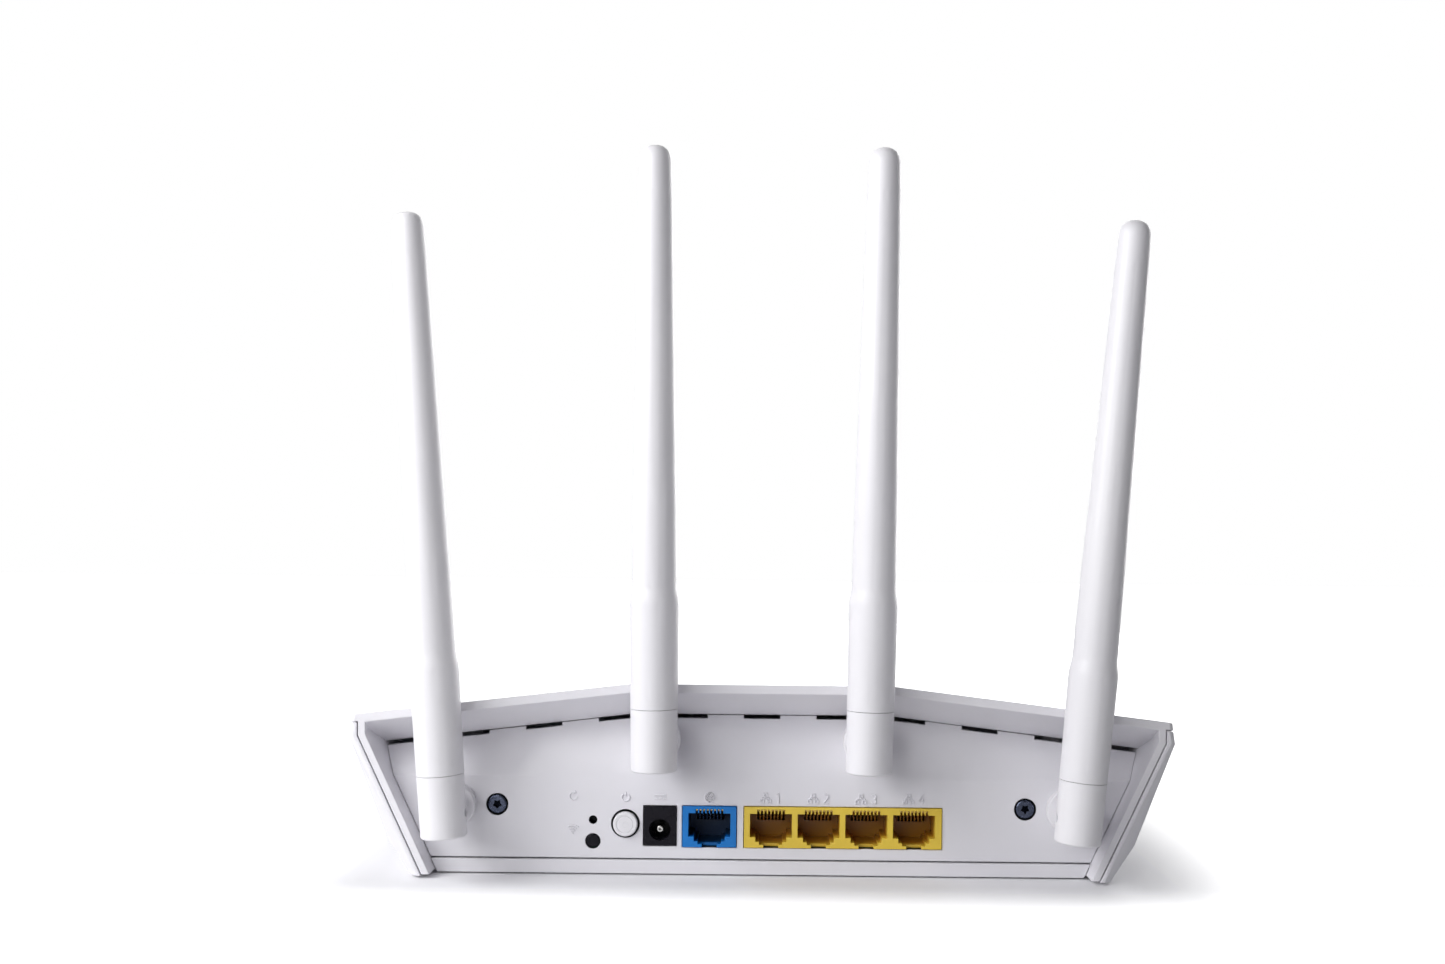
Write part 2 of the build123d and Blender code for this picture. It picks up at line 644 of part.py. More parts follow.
def make_power_switch():
    x, z = POWER_AT
    body = block(x - 4.2, x + 4.2, PANEL_Y - 20.0, PANEL_Y - 8.0, BOARD_TOP_Z, z + 4.2)
    return body - block(x - 1.8, x + 1.8, PANEL_Y - 14.0, PANEL_Y - 7.0, z - 1.8, z + 1.8)


def tact_switch(x, z, low, high, body_front, well_radius):
    """A small switch body with a round well that its plunger slides in."""
    body = block(x - 3.0, x + 3.0, body_front - 4.5, body_front, low, high)
    return body - rod_y(x, z, well_radius, body_front - 2.5, body_front + 1)


def make_wps_switch():
    x, z = WPS_AT
    return tact_switch(x, z, BOARD_TOP_Z, 11.1, PANEL_Y - 4.0, 1.25)


def make_wps_button():
    """A straight plunger that fills the panel's hole, with a thinner tail in the switch."""
    x, z = WPS_AT
    cap = rod_y(x, z, WPS_RADIUS, PANEL_Y - 3.3, PANEL_Y + 0.1)
    cap = fillet(cap.edges().sort_by(Axis.Y)[-1], 0.3)
    cap = cap & block(x - 3, x + 3, PANEL_Y - 4, PANEL_Y + 1, BOARD_TOP_Z + 0.15, z + 3)
    return cap + rod_y(x, z, 1.2, PANEL_Y - 5.7, PANEL_Y - 3.3)


def make_reset_switch():
    x, z = RESET_AT
    body = tact_switch(x, z, 11.6, 18.4, PANEL_Y - 4.6, 1.05)
    for side in (1, -1):
        leg = x + side * 3.6
        body += block(
            leg - 0.6, leg + 0.6, PANEL_Y - 8.6, PANEL_Y - 5.4, BOARD_TOP_Z, 13.0
        )
    return body


def make_reset_plunger():
    x, z = RESET_AT
    return rod_y(x, z, 1.0, PANEL_Y - 6.5, PANEL_Y - 3.2)


# ---- Screws, feet and board ---------------------------------------------------------------------


def star_recess(radius):
    """The outline of a five-lobed star socket."""
    points = []
    for i in range(10):
        reach = radius if i % 2 == 0 else 0.62 * radius
        angle = radians(90 + i * 36)
        points.append((reach * cos(angle), reach * sin(angle)))
    return make_face(Polyline(*points, close=True))


def screw(length, head_radius, head_height, shank_radius):
    """A pan-head screw along +Z with its head's top at the origin."""
    head = Pos(0, 0, -head_height / 2) * Cylinder(head_radius, head_height)
    head = fillet(head.edges().sort_by(Axis.Z)[-1], 0.45 * head_height)
    shank = Pos(0, 0, -head_height - length / 2) * Cylinder(shank_radius, length)
    socket = Pos(0, 0, -0.6 * head_height) * extrude(star_recess(0.48 * head_radius), head_height)
    return head + shank - socket


def make_rear_screws():
    made = screw(9.0, SCREW_HEAD_RADIUS, 1.7, SCREW_SHANK_RADIUS)
    face_y = PANEL_Y - 0.15
    return Compound(
        [Pos(s * REAR_SCREW_X, face_y, REAR_SCREW_Z) * Rot(-90, 0, 0) * made for s in (1, -1)]
    )


def make_case_screws():
    made = screw(10.0, 2.7, 1.8, SCREW_SHANK_RADIUS)
    return Compound([Pos(x, y, 3.4) * Rot(180, 0, 0) * made for x, y in both_sides(FOOT_AT)])


def make_board_screws():
    made = screw(4.2, 2.2, 1.2, 1.0)
    top = BOARD_TOP_Z + 1.2
    return Compound([Pos(x, y, top) * made for x, y in both_sides(BOARD_SCREW_AT)])


def make_feet():
    foot = Cylinder(FOOT_RADIUS, FOOT_THICKNESS)
    foot = fillet(foot.edges().sort_by(Axis.Z)[0], 0.5)
    return Compound([Pos(x, y, FOOT_THICKNESS / 2) * foot for x, y in both_sides(FOOT_AT)])


def make_main_board():
    board = block(
        -BOARD_HALF_WIDTH,
        BOARD_HALF_WIDTH,
        BOARD_FRONT_Y,
        BOARD_REAR_Y,
        BOARD_BASE_Z,
        BOARD_TOP_Z,
    )
    for x, y in both_sides(BOARD_SCREW_AT):
        board -= rod_z(x, y, 1.3, BOARD_BASE_Z - 1, BOARD_TOP_Z + 1)
    return board


def on_board(x, y, width, length, height, lift=0.0):
    """A component's block on the board's top face."""
    z0 = BOARD_TOP_Z + lift
    return block(x - width / 2, x + width / 2, y - length / 2, y + length / 2, z0, z0 + height)


def make_heat_sink():
    """A finned aluminium block above the processor, on two pegs."""
    width, length = HEAT_SINK_SIZE
    base = CHIP_HEIGHT + PAD_THICKNESS
    sink = on_board(*PROCESSOR_AT, width, length, 2.0, base)
    fins, fin = 12, 1.2
    for i in range(fins):
        x = PROCESSOR_AT[0] - width / 2 + fin / 2 + i * (width - fin) / (fins - 1)
        sink += on_board(x, PROCESSOR_AT[1], fin, length, 8.0, base + 1.5)
    for side in (1, -1):
        x = PROCESSOR_AT[0] + side * (width / 2 - 3.0)
        sink += rod_z(x, PROCESSOR_AT[1] + side * (length / 2 - 3.0), 1.4, BOARD_TOP_Z, 10.5)
    return sink


def make_memory_chips():
    """The working memory on one side of the processor and the flash memory on the other."""
    x, y = PROCESSOR_AT
    return Compound([on_board(x + 18.0, y, 9.0, 13.0, 1.0), on_board(x - 18.0, y, 8.0, 6.0, 1.2)])


def make_shields():
    """Thin tinned cans over the two radio sections, open underneath."""
    cans = []
    width, length = SHIELD_SIZE
    for x, y in RADIO_AT:
        can = on_board(x, y, width, length, 3.2)
        can -= on_board(x, y, width - 0.6, length - 0.6, 2.9)
        cans.append(can)
    return Compound(cans)


def make_transformers():
    xs = [WAN_X, -9.0, -27.0, -45.0]
    y = PANEL_Y - JACK_DEPTH - 9.0
    return Compound([on_board(x, y, 12.5, 9.5, 5.6) for x in xs])


def make_capacitors():
    places = [(27.0, PANEL_Y - 24.0), (37.0, PANEL_Y - 27.0), (52.0, -22.0), (-52.0, -22.0)]
    cans = []
    for x, y in places:
        can = rod_z(x, y, 3.1, BOARD_TOP_Z, BOARD_TOP_Z + 8.0)
        cans.append(fillet(can.edges().sort_by(Axis.Z)[-1], 0.6))
    return Compound(cans)


def make_led_chips():
    y = BOARD_FRONT_Y + 1.6
    xs = [(i - (LED_COUNT - 1) / 2) * LED_PITCH for i in range(LED_COUNT)]
    return Compound([on_board(x, y, 1.6, 0.9, 0.8) for x in xs])


def make_light_guide():
    """A clear bar under the roof with a bar-shaped pipe up into each window and a foot to each LED."""
    bar_z = roof_z(0, LED_Y) - ROOF_SLAB - 3.2
    half = (LED_COUNT - 1) / 2 * LED_PITCH + 4.0
    chip_y = BOARD_FRONT_Y + 1.6
    guide = block(-half, half, LED_Y - 1.4, LED_Y + 1.4, bar_z, bar_z + 2.0)
    for window in led_windows(-0.12):
        guide += Pos(0, 0, bar_z + 1.0) * extrude(window, ROOF_SLAB + 2.05)
    for i in range(LED_COUNT):
        x = (i - (LED_COUNT - 1) / 2) * LED_PITCH
        foot_z = BOARD_TOP_Z + 1.1
        guide += block(x - 1.1, x + 1.1, LED_Y, chip_y + 0.8, bar_z, bar_z + 2.0)
        guide += block(x - 1.1, x + 1.1, chip_y - 0.8, chip_y + 0.8, foot_z, bar_z + 2.0)
    return guide


# ---- Antennas -----------------------------------------------------------------------------------


def outside_radius(height):
    """The antenna's outer radius at this height above its lower end."""
    knots = LOWER_PROFILE + BLADE_PROFILE + [(ANTENNA_LENGTH - TIP_HEIGHT, TIP_RADIUS)]
    for (h0, r0), (h1, r1) in zip(knots, knots[1:]):
        if h0 <= height <= h1:
            return r0 + (r1 - r0) * (height - h0) / (h1 - h0)
    return knots[-1][1]


def turned(points):
    """A solid of revolution about Z from (radius, Z) points, the first and last on the axis."""
    return revolve(make_face(Polyline(*[(r, 0, z) for r, z in points], close=True)), axis=Axis.Z)


def make_housing():
    """The hinge housing: a short hollow cylinder, slotted at its panel side and lower end."""
    low = -PIN_TO_END
    high = low + HOUSING_HEIGHT
    outer = outside_radius(HOUSING_HEIGHT)
    body = turned([(0, low), (outside_radius(0), low), (outer, high), (0, high)])
    body = fillet(body.edges().sort_by(Axis.Z)[0], 0.7)
    body += rod_z(0, 0, 3.4, high - 1, high + 6)
    half = KNUCKLE_WIDTH / 2 + SLOT_GAP
    reach = KNUCKLE_RADIUS + SLOT_GAP
    body -= block(-half, half, -12, reach, low - 1, reach)
    body -= rod_z(0, 0, 1.5, 0, high + 7)
    return body - rod_x(PIN_RADIUS + 0.01, -10, 10)


def make_sleeve():
    """The long hollow sleeve: a thicker lower length, a soft step and a slender tapering blade."""
    low = -PIN_TO_END + HOUSING_HEIGHT + SLEEVE_SEAM
    start = HOUSING_HEIGHT + SLEEVE_SEAM
    top = ANTENNA_LENGTH - PIN_TO_END
    base_r = outside_radius(start)
    knots = [(r, h - PIN_TO_END) for h, r in LOWER_PROFILE + BLADE_PROFILE if h > start]
    shoulder = Polyline((0, 0, low), (base_r, 0, low), *[(r, 0, z) for r, z in knots[:2]])
    (r0, z0), (r1, z1) = knots[1], knots[2]
    step = Spline((r0, 0, z0), (r1, 0, z1), tangents=((0, 0, 1), (-0.03, 0, 1)))
    tip = (TIP_RADIUS, 0, top - TIP_HEIGHT)
    blade = Polyline(*[(r, 0, z) for r, z in knots[2:]], tip)
    dome = Spline(tip, (0, 0, top), tangents=((-0.02, 0, 1), (-1, 0, 0)))
    closing = Line((0, 0, top), (0, 0, low))
    body = revolve(make_face([shoulder, step, blade, dome, closing]), axis=Axis.Z)
    body -= rod_z(0, 0, 3.5, low - 1, low + 100)
    return body - rod_z(0, 0, 2.6, low + 99, top - 12)


def make_radiator():
    """The dipole: a thin strip of circuit board down the middle of the sleeve."""
    low = -PIN_TO_END + HOUSING_HEIGHT + 7.0
    return block(-2.4, 2.4, -0.4, 0.4, low, low + 92.0)


def make_pin():
    half = outside_radius(PIN_TO_END) - 0.35
    return rod_x(PIN_RADIUS, -half, half)


def make_swivel(face_y, inner_y):
    """The swivel: a flange on the panel, an arm and knuckle to the antenna, a neck through the panel."""
    flange_end = face_y + FLANGE_LENGTH
    flange = rod_y(0, 0, FLANGE_RADIUS, face_y + 0.12, flange_end)
    flange = fillet(flange.edges().sort_by(Axis.Y)[-1], 0.5)
    half = KNUCKLE_WIDTH / 2
    arm = block(-half, half, flange_end - 0.5, 0, -ARM_HALF_HEIGHT, ARM_HALF_HEIGHT)
    knuckle = rod_x(KNUCKLE_RADIUS, -half, half)
    neck_end = inner_y - 3.6
    neck = rod_y(0, 0, NECK_RADIUS, neck_end, face_y + 1)
    groove = rod_y(0, 0, NECK_RADIUS + 1, inner_y - 2.1, inner_y - 0.9)
    groove -= rod_y(0, 0, NECK_RADIUS - 0.8, inner_y - 3, inner_y)
    body = flange + arm + knuckle + neck - groove
    body -= rod_y(0, 0, CABLE_BORE_RADIUS, neck_end - 1, -PIN_RADIUS - 1.6)
    return body - rod_x(PIN_RADIUS + RUNNING_GAP, -10, 10)


def make_clip(inner_y):
    """An open retaining ring in the neck's groove."""
    y0, y1 = inner_y - 2.05, inner_y - 0.95
    ring = rod_y(0, 0, 6.0, y0, y1) - rod_y(0, 0, NECK_RADIUS - 0.78, y0 - 1, y1 + 1)
    return ring - block(-2.2, 2.2, y0 - 1, y1 + 1, -8, 0)


def make_washer(inner_y):
    """A flat friction washer between the panel and the retaining ring."""
    y0, y1 = inner_y - 0.75, inner_y - 0.1
    return rod_y(0, 0, 6.1, y0, y1) - rod_y(0, 0, NECK_RADIUS + 0.1, y0 - 1, y1 + 1)


def antenna_places():
    """(name, X, Z, tilt about +Y, panel face Y, panel inner Y) of each antenna."""
    outer_faces = (PANEL_Y, PANEL_Y - 3.0)
    inner_faces = (RIM_Y - COLLAR_FACE_DEPTH, RIM_Y - COLLAR_INNER_DEPTH)
    return [
        ("antenna_1", OUTER_SWIVEL[0], OUTER_SWIVEL[1], TILTS[0], *outer_faces),
        ("antenna_2", INNER_SWIVEL[0], INNER_SWIVEL[1], TILTS[1], *inner_faces),
        ("antenna_3", -INNER_SWIVEL[0], INNER_SWIVEL[1], TILTS[2], *inner_faces),
        ("antenna_4", -OUTER_SWIVEL[0], OUTER_SWIVEL[1], TILTS[3], *outer_faces),
    ]


def make_antennas():
    """Every antenna's pieces, tilted to their rest angle and set in place."""
    housing, sleeve, radiator, pin = make_housing(), make_sleeve(), make_radiator(), make_pin()
    washers = []
    for name, x, z, tilt, face_y, inner_y in antenna_places():
        place = Pos(x, ANTENNA_Y, z) * Rot(0, tilt, 0)
        face, inner = face_y - ANTENNA_Y, inner_y - ANTENNA_Y
        parts[name + "_swivel"] = place * make_swivel(face, inner)
        parts[name + "_clip"] = place * make_clip(inner)
        parts[name + "_hinge_pin"] = place * pin
        parts[name + "_housing"] = place * housing
        parts[name + "_sleeve"] = place * sleeve
        parts[name + "_radiator"] = place * radiator
        washers.append(place * make_washer(inner))
    parts["antenna_washers"] = Compound(washers)


def lead_route(x, start_y, z):
    """The corners of a lead's route from the end of an antenna's neck to its socket."""
    side = 1 if x > 0 else -1
    end_z = BOARD_TOP_Z + 1.25
    if abs(x) > abs(INNER_SWIVEL[0]):
        end_x, end_y = side * OUTER_SOCKET[0], OUTER_SOCKET[1]
        middle = [(x, start_y - 6.7, z), (side * 70.0, 22.0, z), (end_x, end_y, z)]
    else:
        end_x, end_y = side * INNER_SOCKET[0], INNER_SOCKET[1]
        middle = [(x, end_y + 5.0, z), (end_x, end_y, z - 12.0)]
    return [(x, start_y, z), *middle, (end_x, end_y, end_z)]


def make_cables():
    """Four thin coaxial leads, each from an antenna's neck down to its socket on the board."""
    leads = []
    radius, bend = 0.55, 4.0
    for name, x, z, tilt, face_y, inner_y in antenna_places():
        path = FilletPolyline(*lead_route(x, inner_y - 3.7, z), radius=bend)
        start = Plane(origin=path @ 0, z_dir=path % 0)
        leads.append(sweep(start * Circle(radius), path=path))
    return Compound(leads)


def make_sockets():
    """Small coaxial sockets where the leads end."""
    places = both_sides([OUTER_SOCKET, INNER_SOCKET])
    return Compound([on_board(x, y, 2.8, 2.8, 1.2) for x, y in places])


# ---- Every part ---------------------------------------------------------------------------------


def make_body_parts():
    parts["top_cover"] = make_top_cover()
    parts["bottom_case"] = make_bottom_case()
    parts["rear_panel"] = make_rear_panel()
    parts["wan_jack"] = make_jack(WAN_X, WAN_WIDTH, [WAN_X])
    parts["lan_jack_block"] = make_jack(LAN_X, LAN_WIDTH, LAN_PORT_X)
    parts["wan_contacts"] = make_contacts([WAN_X])
    parts["lan_contacts"] = make_contacts(LAN_PORT_X)
    parts["dc_jack"] = make_dc_jack()
    parts["dc_pin"] = make_dc_pin()
    parts["power_button"] = make_power_button()
    parts["power_switch"] = make_power_switch()
    parts["wps_button"] = make_wps_button()
    parts["wps_switch"] = make_wps_switch()
    parts["reset_plunger"] = make_reset_plunger()
    parts["reset_switch"] = make_reset_switch()
    parts["rear_screws"] = make_rear_screws()
    parts["case_screws"] = make_case_screws()
    parts["board_screws"] = make_board_screws()
    parts["rubber_feet"] = make_feet()
    label_z = BASE_Z + 0.8 * LABEL_SIZE[2]
    parts["rating_label"] = Pos(0, LABEL_Y, label_z) * Box(*LABEL_SIZE)


def make_board_parts():
    parts["main_board"] = make_main_board()
    parts["processor"] = on_board(*PROCESSOR_AT, 21.0, 21.0, CHIP_HEIGHT)
    parts["thermal_pad"] = on_board(*PROCESSOR_AT, 24.0, 24.0, PAD_THICKNESS, CHIP_HEIGHT)
    parts["heat_sink"] = make_heat_sink()
    parts["memory_chips"] = make_memory_chips()
    parts["radio_chips"] = Compound([on_board(x, y, 10.0, 10.0, 1.0) for x, y in RADIO_AT])
    parts["radio_shields"] = make_shields()
    parts["lan_transformers"] = make_transformers()
    parts["capacitors"] = make_capacitors()
    parts["power_inductor"] = on_board(46.0, BOARD_REAR_Y - 24.0, 7.0, 7.0, 4.0)
    parts["crystals"] = Compound([on_board(x, y + 17.0, 3.2, 2.5, 0.8) for x, y in RADIO_AT])
    parts["status_leds"] = make_led_chips()
    parts["light_guide"] = make_light_guide()
    parts["antenna_cables"] = make_cables()
    parts["antenna_sockets"] = make_sockets()


make_body_parts()
make_board_parts()
make_antennas()

os.makedirs("parts", exist_ok=True)
for node, shape in parts.items():
    shape.label = node
    export_step(shape, f"parts/{node}.step")
print(len(parts), "nodes written")
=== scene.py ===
from math import cos, dist, hypot, radians, sin
import json

import bmesh
import bpy
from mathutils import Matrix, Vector

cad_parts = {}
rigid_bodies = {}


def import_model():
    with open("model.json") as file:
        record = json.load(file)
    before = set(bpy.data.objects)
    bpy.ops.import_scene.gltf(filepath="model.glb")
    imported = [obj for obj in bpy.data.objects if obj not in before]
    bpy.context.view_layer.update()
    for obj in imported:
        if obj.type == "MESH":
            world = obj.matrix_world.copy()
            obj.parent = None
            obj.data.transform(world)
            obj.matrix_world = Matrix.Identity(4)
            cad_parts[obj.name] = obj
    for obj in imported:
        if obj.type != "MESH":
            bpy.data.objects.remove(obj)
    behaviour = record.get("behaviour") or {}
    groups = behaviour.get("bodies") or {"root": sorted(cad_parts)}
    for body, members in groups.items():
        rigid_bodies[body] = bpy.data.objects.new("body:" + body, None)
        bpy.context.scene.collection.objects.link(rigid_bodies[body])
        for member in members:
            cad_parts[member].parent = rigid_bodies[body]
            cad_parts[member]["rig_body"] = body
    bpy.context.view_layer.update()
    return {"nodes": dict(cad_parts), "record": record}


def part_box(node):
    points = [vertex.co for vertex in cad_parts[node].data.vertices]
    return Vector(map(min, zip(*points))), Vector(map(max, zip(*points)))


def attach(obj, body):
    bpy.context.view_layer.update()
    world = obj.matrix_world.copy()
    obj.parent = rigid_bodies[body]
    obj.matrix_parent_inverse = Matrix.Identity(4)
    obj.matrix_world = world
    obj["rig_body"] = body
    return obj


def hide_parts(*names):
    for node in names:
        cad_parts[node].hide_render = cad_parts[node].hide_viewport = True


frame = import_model()
nodes = frame["nodes"]

# ---- Places and sizes, in metres. The ports face +Y, and +X is on the viewer's left there. ----------
MM = 0.001
RIM_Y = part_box("top_cover")[1].y
PANEL_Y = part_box("rear_panel")[1].y
CASE_HALF_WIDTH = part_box("bottom_case")[1].x

# Camera: behind the router, level with the middle of its height. The distance is from the rear rim, the
# lens and sensor are in millimetres, the shifts are in sensor widths and the roll is in degrees.
CAMERA_DISTANCE = 0.420
EYE_HEIGHT = 0.0944
CLIP_START = 0.01
CLIP_END = 20.0
FOCAL_LENGTH = 37.97
SENSOR_WIDTH = 36.0
SHIFT_RIGHT = -0.0287
SHIFT_UP = 0.0401
CAMERA_ROLL = -0.6

# The floor is plain paint over this half width and depth around the origin, and glows fully white at
# this distance outside it
SHADED_HALF = (0.92 * CASE_HALF_WIDTH, RIM_Y, 0.0)
GLOW_FULL = 0.05
FLOOR_HALF = 3.0

# Studio: the point that the lights face, and the ambient light. The gloss sees a white backdrop up to one
# direction's Y and a dim room from another's.
AIM = Vector((0.0, RIM_Y, 0.07))
AMBIENT = 0.045
AMBIENT_COLOUR = (0.93, 0.93, 1.0, 1.0)
BACKDROP_END = -0.5
ROOM_START = 0.4
DIM_ROOM = 0.12

# Raised marks on the port panel
MARK_HEIGHT = 2.6 * MM
MARK_RISE = 0.34 * MM
MARK_SINK = 0.04 * MM
STROKE = 0.36 * MM
SAME_POINT = 1e-6
LABEL_ROW_Z = 21.9 * MM
PORT_PITCH = 13.4 * MM
LABEL_FROM_WPS = 5.6 * MM
WPS_LABEL_RISE = 2.9 * MM
NETWORK_FROM_PORT = 1.7 * MM
DIGIT_FROM_PORT = -1.9 * MM
CAP_MARK_HEIGHT = 1.9 * MM
CAP_MARK_RISE = 0.07 * MM
CAP_STROKE = 0.2 * MM


# ---- Materials --------------------------------------------------------------------------------------
# Moulded plastic's detail, in features per metre
FLOW_SCALE = 18.0
WAVE_SCALE = 70.0
GLOSS_SCALE = 260.0
GRAIN_SCALE = 3200.0

# A height above every piece
ANY_HEIGHT = 1.0


def start_material(name):
    """A new material with its node tree and its shader."""
    material = bpy.data.materials.new(name)
    material.use_nodes = True
    tree = material.node_tree
    return material, tree, tree.nodes["Principled BSDF"]


def noise(tree, scale, detail=2.0, stretch=(1.0, 1.0, 1.0)):
    """Noise over the piece's own coordinates.

    scale is in features per metre, and stretch multiplies it along each axis.
    """
    place = tree.nodes.new("ShaderNodeTexCoord")
    mapping = tree.nodes.new("ShaderNodeMapping")
    mapping.inputs["Scale"].default_value = stretch
    texture = tree.nodes.new("ShaderNodeTexNoise")
    texture.inputs["Scale"].default_value = scale
    texture.inputs["Detail"].default_value = detail
    tree.links.new(place.outputs["Object"], mapping.inputs["Vector"])
    tree.links.new(mapping.outputs["Vector"], texture.inputs["Vector"])
    return texture.outputs["Fac"]


def between(tree, factor, low, high):
    """The factor's middle range spread from low to high."""
    spread = tree.nodes.new("ShaderNodeMapRange")
    spread.inputs["From Min"].default_value = 0.3
    spread.inputs["From Max"].default_value = 0.7
    spread.inputs["To Min"].default_value = low
    spread.inputs["To Max"].default_value = high
    tree.links.new(factor, spread.inputs["Value"])
    return spread.outputs["Result"]


def tint(tree, shader, factor, colour, other):
    """Base colour that drifts from one shade to another."""
    ramp = tree.nodes.new("ShaderNodeValToRGB")
    ramp.color_ramp.elements[0].position = 0.35
    ramp.color_ramp.elements[0].color = (*colour, 1.0)
    ramp.color_ramp.elements[1].position = 0.65
    ramp.color_ramp.elements[1].color = (*other, 1.0)
    tree.links.new(factor, ramp.inputs["Fac"])
    tree.links.new(ramp.outputs["Color"], shader.inputs["Base Color"])


def relief(tree, shader, factor, depth, below=None):
    """Surface relief of this depth, laid over another relief if one is given."""
    bump = tree.nodes.new("ShaderNodeBump")
    bump.inputs["Strength"].default_value = 1.0
    bump.inputs["Distance"].default_value = depth
    tree.links.new(factor, bump.inputs["Height"])
    if below is not None:
        tree.links.new(below, bump.inputs["Normal"])
    tree.links.new(bump.outputs["Normal"], shader.inputs["Normal"])
    return bump.outputs["Normal"]


def finish(name, colour, other, roughness, patch, grain, depth, metallic=0.0):
    """A surface whose shade drifts over patches, and whose gloss and relief follow a fine grain.

    patch and grain are in features per metre.
    """
    material, tree, shader = start_material(name)
    patches = noise(tree, patch, 3.0)
    tint(tree, shader, patches, colour, other)
    grains = noise(tree, grain, 2.0)
    gloss = between(tree, grains, *roughness)
    tree.links.new(gloss, shader.inputs["Roughness"])
    relief(tree, shader, grains, depth)
    shader.inputs["Metallic"].default_value = metallic
    return material


def moulded(name, colour, other, roughness, depth=0.006 * MM, gloss_level=0.5):
    """Moulded plastic: a spark-eroded fine grain over faint flow unevenness."""
    material, tree, shader = start_material(name)
    tint(tree, shader, noise(tree, FLOW_SCALE, 2.0), colour, other)
    gloss = between(tree, noise(tree, GLOSS_SCALE, 4.0), *roughness)
    tree.links.new(gloss, shader.inputs["Roughness"])
    waves = relief(tree, shader, noise(tree, WAVE_SCALE, 1.0), 3 * depth)
    relief(tree, shader, noise(tree, GRAIN_SCALE, 3.0), depth, waves)
    shader.inputs["IOR"].default_value = 1.5
    shader.inputs["Specular IOR Level"].default_value = gloss_level
    return material


def painted_shade_inside(material, shade_colour, face_depth, dark_depth, only_below=ANY_HEIGHT):
    """Make a material darken from one depth behind the port face to another. This is painted shade in the
    colour, standing for the shadow inside openings and recesses, and it stays under any lamp.

    Nothing above the height only_below is darkened.
    """
    tree = material.node_tree
    shader = tree.nodes["Principled BSDF"]
    face_colour = shader.inputs["Base Color"].links[0].from_socket
    place = tree.nodes.new("ShaderNodeTexCoord")
    parts = tree.nodes.new("ShaderNodeSeparateXYZ")
    tree.links.new(place.outputs["Object"], parts.inputs["Vector"])
    depth = tree.nodes.new("ShaderNodeMapRange")
    depth.interpolation_type = "SMOOTHSTEP"
    depth.inputs["From Min"].default_value = PANEL_Y - face_depth
    depth.inputs["From Max"].default_value = PANEL_Y - dark_depth
    tree.links.new(parts.outputs["Y"], depth.inputs["Value"])
    low = tree.nodes.new("ShaderNodeMath")
    low.operation = "LESS_THAN"
    low.inputs[1].default_value = only_below
    tree.links.new(parts.outputs["Z"], low.inputs[0])
    amount = tree.nodes.new("ShaderNodeMath")
    amount.operation = "MULTIPLY"
    tree.links.new(depth.outputs["Result"], amount.inputs[0])
    tree.links.new(low.outputs["Value"], amount.inputs[1])
    # The base colour is blended towards the painted shade colour as the depth grows
    blend = tree.nodes.new("ShaderNodeMix")
    blend.data_type = "RGBA"
    blend.inputs["B"].default_value = (*shade_colour, 1.0)
    tree.links.new(amount.outputs["Value"], blend.inputs["Factor"])
    tree.links.new(face_colour, blend.inputs["A"])
    tree.links.new(blend.outputs["Result"], shader.inputs["Base Color"])
    return material


def brushed(name, colour, other, roughness, stretch):
    """Metal with fine lines along one direction."""
    material, tree, shader = start_material(name)
    lines = noise(tree, 900.0, 3.0, stretch)
    tint(tree, shader, noise(tree, 120.0, 2.0), colour, other)
    tree.links.new(between(tree, lines, *roughness), shader.inputs["Roughness"])
    relief(tree, shader, lines, 0.004 * MM)
    shader.inputs["Metallic"].default_value = 1.0
    return material


def circuit_board():
    """Solder mask over raised traces."""
    material, tree, shader = start_material("circuit_board")
    place = tree.nodes.new("ShaderNodeTexCoord")
    traces = tree.nodes.new("ShaderNodeTexVoronoi")
    traces.feature = "DISTANCE_TO_EDGE"
    traces.inputs["Scale"].default_value = 240.0
    tree.links.new(place.outputs["Object"], traces.inputs["Vector"])
    edge = tree.nodes.new("ShaderNodeMapRange")
    edge.inputs["From Max"].default_value = 0.12
    tree.links.new(traces.outputs["Distance"], edge.inputs["Value"])
    tint(tree, shader, edge.outputs["Result"], (0.03, 0.22, 0.09), (0.012, 0.12, 0.045))
    relief(tree, shader, edge.outputs["Result"], 0.03 * MM)
    gloss = between(tree, noise(tree, 500.0), 0.28, 0.4)
    tree.links.new(gloss, shader.inputs["Roughness"])
    return material


def light_pipe():
    """Clear moulded plastic with a lightly frosted face."""
    material, tree, shader = start_material("light_pipe")
    frost = noise(tree, 1800.0, 3.0)
    tint(tree, shader, noise(tree, 60.0), (0.86, 0.90, 0.95), (0.93, 0.95, 0.97))
    tree.links.new(between(tree, frost, 0.16, 0.3), shader.inputs["Roughness"])
    relief(tree, shader, frost, 0.004 * MM)
    shader.inputs["Transmission Weight"].default_value = 0.6
    shader.inputs["IOR"].default_value = 1.49
    return material


WHITE = (0.80, 0.79, 0.825)
WHITE_SHADE = (0.775, 0.765, 0.81)
BRIGHT_WHITE = (0.82, 0.81, 0.84)

